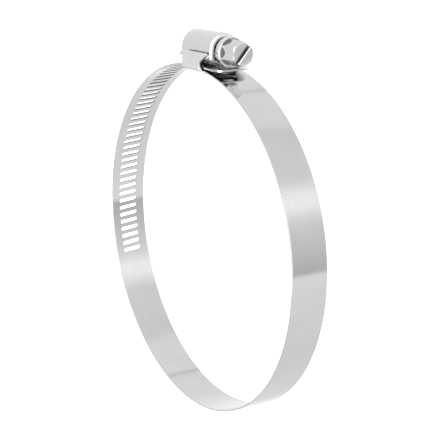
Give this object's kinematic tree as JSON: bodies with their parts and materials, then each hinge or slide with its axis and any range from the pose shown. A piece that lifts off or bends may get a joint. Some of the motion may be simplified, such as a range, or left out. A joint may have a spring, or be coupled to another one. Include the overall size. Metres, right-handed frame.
{
  "type": "hose clamp",
  "caption": "Worm-drive hose clamp: a slotted steel band drawn through a domed housing by a slotted hexagon-head screw.",
  "frame": {"origin": "middle of the clamp's footprint as it lies on its side, on the surface it lies on", "axes": "+Z along the axis of the hose, +Y from the ring's centre to the housing, +X along the screw towards its head"},
  "size_m": [0.1146, 0.1254, 0.0152],
  "materials": {
    "band_steel": "bright rolled strip, fine grain along its length",
    "housing_steel": "satin pressed sheet",
    "saddle_steel": "satin pressed sheet",
    "screw_steel": "turned and rolled, satin"
  },
  "bodies": {
    "clamp_housing": {"housing": "housing_steel", "saddle": "saddle_steel", "band_fixed_end": "band_steel"},
    "screw": {"screw": "screw_steel"},
    "slotted_band": {"band_slotted": "band_steel"},
    "right_1": {"band_right_1": "band_steel"},
    "right_2": {"band_right_2": "band_steel"},
    "right_3": {"band_right_3": "band_steel"},
    "right_4": {"band_right_4": "band_steel"},
    "right_5": {"band_right_5": "band_steel"},
    "right_6": {"band_right_6": "band_steel"},
    "right_7": {"band_right_7": "band_steel"},
    "right_8": {"band_right_8": "band_steel"},
    "left_1": {"band_left_1": "band_steel"},
    "left_2": {"band_left_2": "band_steel"},
    "left_3": {"band_left_3": "band_steel"},
    "left_4": {"band_left_4": "band_steel"},
    "left_5": {"band_left_5": "band_steel"},
    "left_6": {"band_left_6": "band_steel"},
    "left_7": {"band_left_7": "band_steel"},
    "left_8": {"band_left_8": "band_steel"}
  },
  "joints": [
    {"name": "screw_turn", "type": "hinge", "parent": "clamp_housing", "child": "screw", "pos_m": [0.00032, 0.05681, 0.0076], "axis": [-1, 0, 0], "range_deg": [0, 12600]},
    {"name": "band_feed", "type": "hinge", "parent": "clamp_housing", "child": "slotted_band", "pos_m": [0.00032, -0.00529, 0.0076], "axis": [0, 0, -1], "range_deg": [0, 91]},
    {"name": "bend_right_1", "type": "hinge", "parent": "clamp_housing", "child": "right_1", "pos_m": [0.01205, 0.04993, 0.0076], "axis": [0, 0, -1], "range_deg": [0, 6.26]},
    {"name": "bend_right_2", "type": "hinge", "parent": "right_1", "child": "right_2", "pos_m": [0.02581, 0.04509, 0.0076], "axis": [0, 0, -1], "range_deg": [0, 6.26]},
    {"name": "bend_right_3", "type": "hinge", "parent": "right_2", "child": "right_3", "pos_m": [0.03788, 0.0369, 0.0076], "axis": [0, 0, -1], "range_deg": [0, 5.61]},
    {"name": "bend_right_4", "type": "hinge", "parent": "right_3", "child": "right_4", "pos_m": [0.04747, 0.02589, 0.0076], "axis": [0, 0, -1], "range_deg": [0, 5.12]},
    {"name": "bend_right_5", "type": "hinge", "parent": "right_4", "child": "right_5", "pos_m": [0.05394, 0.01278, 0.0076], "axis": [0, 0, -1], "range_deg": [0, 5.12]},
    {"name": "bend_right_6", "type": "hinge", "parent": "right_5", "child": "right_6", "pos_m": [0.05684, -0.00155, 0.0076], "axis": [0, 0, -1], "range_deg": [0, 5.62]},
    {"name": "bend_right_7", "type": "hinge", "parent": "right_6", "child": "right_7", "pos_m": [0.05598, -0.01617, 0.0076], "axis": [0, 0, -1], "range_deg": [0, 6.03]},
    {"name": "bend_right_8", "type": "hinge", "parent": "right_7", "child": "right_8", "pos_m": [0.05141, -0.0301, 0.0076], "axis": [0, 0, -1], "range_deg": [0, 5.49]},
    {"name": "bend_left_1", "type": "hinge", "parent": "slotted_band", "child": "left_1", "pos_m": [-0.05335, -0.02535, 0.0076], "axis": [0, 0, 1], "range_deg": [0, 6.26]},
    {"name": "bend_left_2", "type": "hinge", "parent": "left_1", "child": "left_2", "pos_m": [-0.04641, -0.03843, 0.0076], "axis": [0, 0, 1], "range_deg": [0, 6.14]},
    {"name": "bend_left_3", "type": "hinge", "parent": "left_2", "child": "left_3", "pos_m": [-0.03635, -0.04927, 0.0076], "axis": [0, 0, 1], "range_deg": [0, 5.12]},
    {"name": "bend_left_4", "type": "hinge", "parent": "left_3", "child": "left_4", "pos_m": [-0.02384, -0.05716, 0.0076], "axis": [0, 0, 1], "range_deg": [0, 5.12]},
    {"name": "bend_left_5", "type": "hinge", "parent": "left_4", "child": "left_5", "pos_m": [-0.00973, -0.06156, 0.0076], "axis": [0, 0, 1], "range_deg": [0, 5.12]},
    {"name": "bend_left_6", "type": "hinge", "parent": "left_5", "child": "left_6", "pos_m": [0.00501, -0.0622, 0.0076], "axis": [0, 0, 1], "range_deg": [0, 5.23]},
    {"name": "bend_left_7", "type": "hinge", "parent": "left_6", "child": "left_7", "pos_m": [0.01941, -0.05903, 0.0076], "axis": [0, 0, 1], "range_deg": [0, 6.26]},
    {"name": "bend_left_8", "type": "hinge", "parent": "left_7", "child": "left_8", "pos_m": [0.0325, -0.05228, 0.0076], "axis": [0, 0, 1], "range_deg": [0, 6.26]}
  ],
  "couplings": [
    {"joint": "band_feed", "follows": "screw_turn", "ratio": 0.0072217},
    {"joint": "bend_right_1", "follows": "screw_turn", "ratio": 0.00049649},
    {"joint": "bend_right_2", "follows": "screw_turn", "ratio": 0.00049649},
    {"joint": "bend_right_3", "follows": "screw_turn", "ratio": 0.00044498},
    {"joint": "bend_right_4", "follows": "screw_turn", "ratio": 0.00040622},
    {"joint": "bend_right_5", "follows": "screw_turn", "ratio": 0.00040622},
    {"joint": "bend_right_6", "follows": "screw_turn", "ratio": 0.000446},
    {"joint": "bend_right_7", "follows": "screw_turn", "ratio": 0.00047867},
    {"joint": "bend_right_8", "follows": "screw_turn", "ratio": 0.0004359},
    {"joint": "bend_left_1", "follows": "screw_turn", "ratio": 0.00049649},
    {"joint": "bend_left_2", "follows": "screw_turn", "ratio": 0.00048757},
    {"joint": "bend_left_3", "follows": "screw_turn", "ratio": 0.00040622},
    {"joint": "bend_left_4", "follows": "screw_turn", "ratio": 0.00040622},
    {"joint": "bend_left_5", "follows": "screw_turn", "ratio": 0.00040622},
    {"joint": "bend_left_6", "follows": "screw_turn", "ratio": 0.00041498},
    {"joint": "bend_left_7", "follows": "screw_turn", "ratio": 0.00049649},
    {"joint": "bend_left_8", "follows": "screw_turn", "ratio": 0.00049649}
  ]
}
